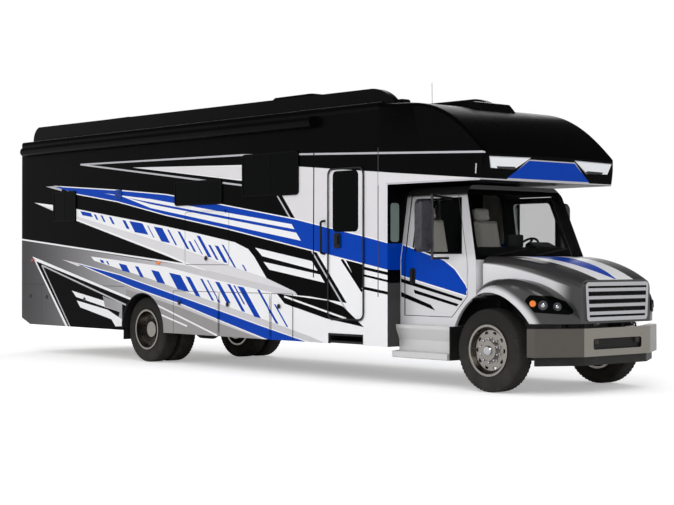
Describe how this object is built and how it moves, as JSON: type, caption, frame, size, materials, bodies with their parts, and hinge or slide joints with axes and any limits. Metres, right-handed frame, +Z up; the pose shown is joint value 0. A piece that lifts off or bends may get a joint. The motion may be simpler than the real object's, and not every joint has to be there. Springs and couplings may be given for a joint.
{
  "type": "motorhome",
  "caption": "Long-nose truck-cab motorhome with an over-cab bunk, cargo doors, a slide-out room, steerable front wheels and a tilting hood",
  "frame": {"origin": "on the ground under the middle of the overall length and width", "axes": "+X forward, +Y to the driver's left, +Z up"},
  "size_m": [12.05, 2.89, 3.9949],
  "materials": {
    "frame_black": "satin chassis black",
    "engine_grey": "cast",
    "tank_alloy": "polished",
    "trim_black": "moulded, matt",
    "wheel_alloy": "polished forged",
    "tyre_rubber": "road tyre",
    "bumper_silver": "metallic silver",
    "bright_chrome": "bright plated",
    "cab_paint": "metallic silver-white",
    "lamp_clear": "clear lens over a dark housing",
    "lamp_red": "red lens",
    "cab_glass": "tinted green-grey",
    "seat_leather": "cream",
    "house_paint": "gloss, in bands of black, grey, blue and white",
    "gloss_black": "gloss black",
    "floor_board": "sealed board",
    "dark_glass": "privacy tint"
  },
  "bodies": {
    "chassis": {"chassis_frame": "frame_black", "front_axle": "frame_black", "rear_axle": "frame_black", "leaf_springs": "frame_black", "hitch_receiver": "frame_black", "engine": "engine_grey", "fuel_tank": "tank_alloy", "wheel_liners": "trim_black", "bumper": "bumper_silver", "bumper_valance": "trim_black", "storage_tubs": "trim_black", "entry_step": "trim_black", "dashboard": "trim_black", "cab_body": "cab_paint", "cab_steps": "cab_paint", "windshield": "cab_glass", "cab_seats": "seat_leather", "cap_lamps": "lamp_clear", "tail_lamps": "lamp_red", "house_wall_right": "house_paint", "house_wall_left": "house_paint", "house_front": "house_paint", "house_rear": "house_paint", "house_roof": "gloss_black", "front_cap": "gloss_black", "roof_equipment": "gloss_black", "awning": "gloss_black", "house_floor": "floor_board", "house_windows": "dark_glass"},
    "steer_knuckle_right": {"knuckle_right": "frame_black"},
    "steer_knuckle_left": {"knuckle_left": "frame_black"},
    "front_wheel_right": {"front_right_rim": "wheel_alloy", "front_right_tyre": "tyre_rubber"},
    "front_wheel_left": {"front_left_rim": "wheel_alloy", "front_left_tyre": "tyre_rubber"},
    "rear_wheels_right": {"rear_right_rims": "wheel_alloy", "rear_right_tyres": "tyre_rubber"},
    "rear_wheels_left": {"rear_left_rims": "wheel_alloy", "rear_left_tyres": "tyre_rubber"},
    "hood_body": {"hood": "cab_paint", "grille": "bright_chrome", "headlamps": "lamp_clear"},
    "cab_door_right_body": {"cab_door_right": "cab_paint", "cab_door_right_glass": "cab_glass", "mirror_right": "bright_chrome"},
    "cab_door_left_body": {"cab_door_left": "cab_paint", "cab_door_left_glass": "cab_glass", "mirror_left": "bright_chrome"},
    "entry_door_body": {"entry_door": "house_paint", "entry_door_glass": "dark_glass"},
    "upper_cargo_door_body": {"upper_cargo_door": "house_paint"},
    "slideout_body": {"slideout": "house_paint", "slideout_glass": "dark_glass"},
    "cargo_door_right_rear_body": {"cargo_door_right_rear": "house_paint"},
    "cargo_door_right_middle_body": {"cargo_door_right_middle": "house_paint"},
    "cargo_door_right_front_body": {"cargo_door_right_front": "house_paint"},
    "cargo_door_left_rear_body": {"cargo_door_left_rear": "house_paint"},
    "cargo_door_left_middle_body": {"cargo_door_left_middle": "house_paint"},
    "cargo_door_left_front_body": {"cargo_door_left_front": "house_paint"}
  },
  "joints": [
    {"name": "front_right_spin", "type": "hinge", "parent": "steer_knuckle_right", "child": "front_wheel_right", "pos_m": [4.975, -1.03, 0.506], "axis": [0, 1, 0], "continuous": true},
    {"name": "front_left_spin", "type": "hinge", "parent": "steer_knuckle_left", "child": "front_wheel_left", "pos_m": [4.975, 1.03, 0.506], "axis": [0, 1, 0], "continuous": true},
    {"name": "rear_right_spin", "type": "hinge", "parent": "chassis", "child": "rear_wheels_right", "pos_m": [-2.245, -1.055, 0.506], "axis": [0, 1, 0], "continuous": true},
    {"name": "rear_left_spin", "type": "hinge", "parent": "chassis", "child": "rear_wheels_left", "pos_m": [-2.245, 1.055, 0.506], "axis": [0, 1, 0], "continuous": true},
    {"name": "steer_right", "type": "hinge", "parent": "chassis", "child": "steer_knuckle_right", "pos_m": [4.975, -0.88, 0.506], "axis": [0, 0, 1], "range_deg": [-38, 38]},
    {"name": "steer_left", "type": "hinge", "parent": "chassis", "child": "steer_knuckle_left", "pos_m": [4.975, 0.88, 0.506], "axis": [0, 0, 1], "range_deg": [-38, 38]},
    {"name": "hood_tilt", "type": "hinge", "parent": "chassis", "child": "hood_body", "pos_m": [5.975, 0, 0.828], "axis": [0, 1, 0], "range_deg": [0, 75]},
    {"name": "cab_door_right_hinge", "type": "hinge", "parent": "chassis", "child": "cab_door_right_body", "pos_m": [4.523, -1.0485, 1.3], "axis": [0, 0, 1], "range_deg": [0, 68]},
    {"name": "cab_door_left_hinge", "type": "hinge", "parent": "chassis", "child": "cab_door_left_body", "pos_m": [4.523, 1.0485, 1.3], "axis": [0, 0, -1], "range_deg": [0, 68]},
    {"name": "entry_door_hinge", "type": "hinge", "parent": "chassis", "child": "entry_door_body", "pos_m": [2.89, -1.2785, 1.8], "axis": [0, 0, 1], "range_deg": [0, 90]},
    {"name": "upper_cargo_door_hinge", "type": "hinge", "parent": "chassis", "child": "upper_cargo_door_body", "pos_m": [-0.5625, -1.2785, 2.315], "axis": [-1, 0, 0], "range_deg": [0, 88]},
    {"name": "cargo_door_right_rear_hinge", "type": "hinge", "parent": "chassis", "child": "cargo_door_right_rear_body", "pos_m": [-0.272, -1.2785, 0.8], "axis": [0, 0, 1], "range_deg": [0, 90]},
    {"name": "cargo_door_right_middle_hinge", "type": "hinge", "parent": "chassis", "child": "cargo_door_right_middle_body", "pos_m": [0.933, -1.2785, 0.8], "axis": [0, 0, 1], "range_deg": [0, 90]},
    {"name": "cargo_door_right_front_hinge", "type": "hinge", "parent": "chassis", "child": "cargo_door_right_front_body", "pos_m": [1.433, -1.2785, 0.8], "axis": [0, 0, 1], "range_deg": [0, 90]},
    {"name": "cargo_door_left_rear_hinge", "type": "hinge", "parent": "chassis", "child": "cargo_door_left_rear_body", "pos_m": [-0.272, 1.2785, 0.8], "axis": [0, 0, -1], "range_deg": [0, 90]},
    {"name": "cargo_door_left_middle_hinge", "type": "hinge", "parent": "chassis", "child": "cargo_door_left_middle_body", "pos_m": [0.933, 1.2785, 0.8], "axis": [0, 0, -1], "range_deg": [0, 90]},
    {"name": "cargo_door_left_front_hinge", "type": "hinge", "parent": "chassis", "child": "cargo_door_left_front_body", "pos_m": [1.433, 1.2785, 0.8], "axis": [0, 0, -1], "range_deg": [0, 90]},
    {"name": "slideout_travel", "type": "slide", "parent": "chassis", "child": "slideout_body", "axis": [0, 1, 0], "range_m": [0, 0.8]}
  ],
  "couplings": [
    {"joint": "steer_left", "follows": "steer_right", "ratio": 1}
  ]
}
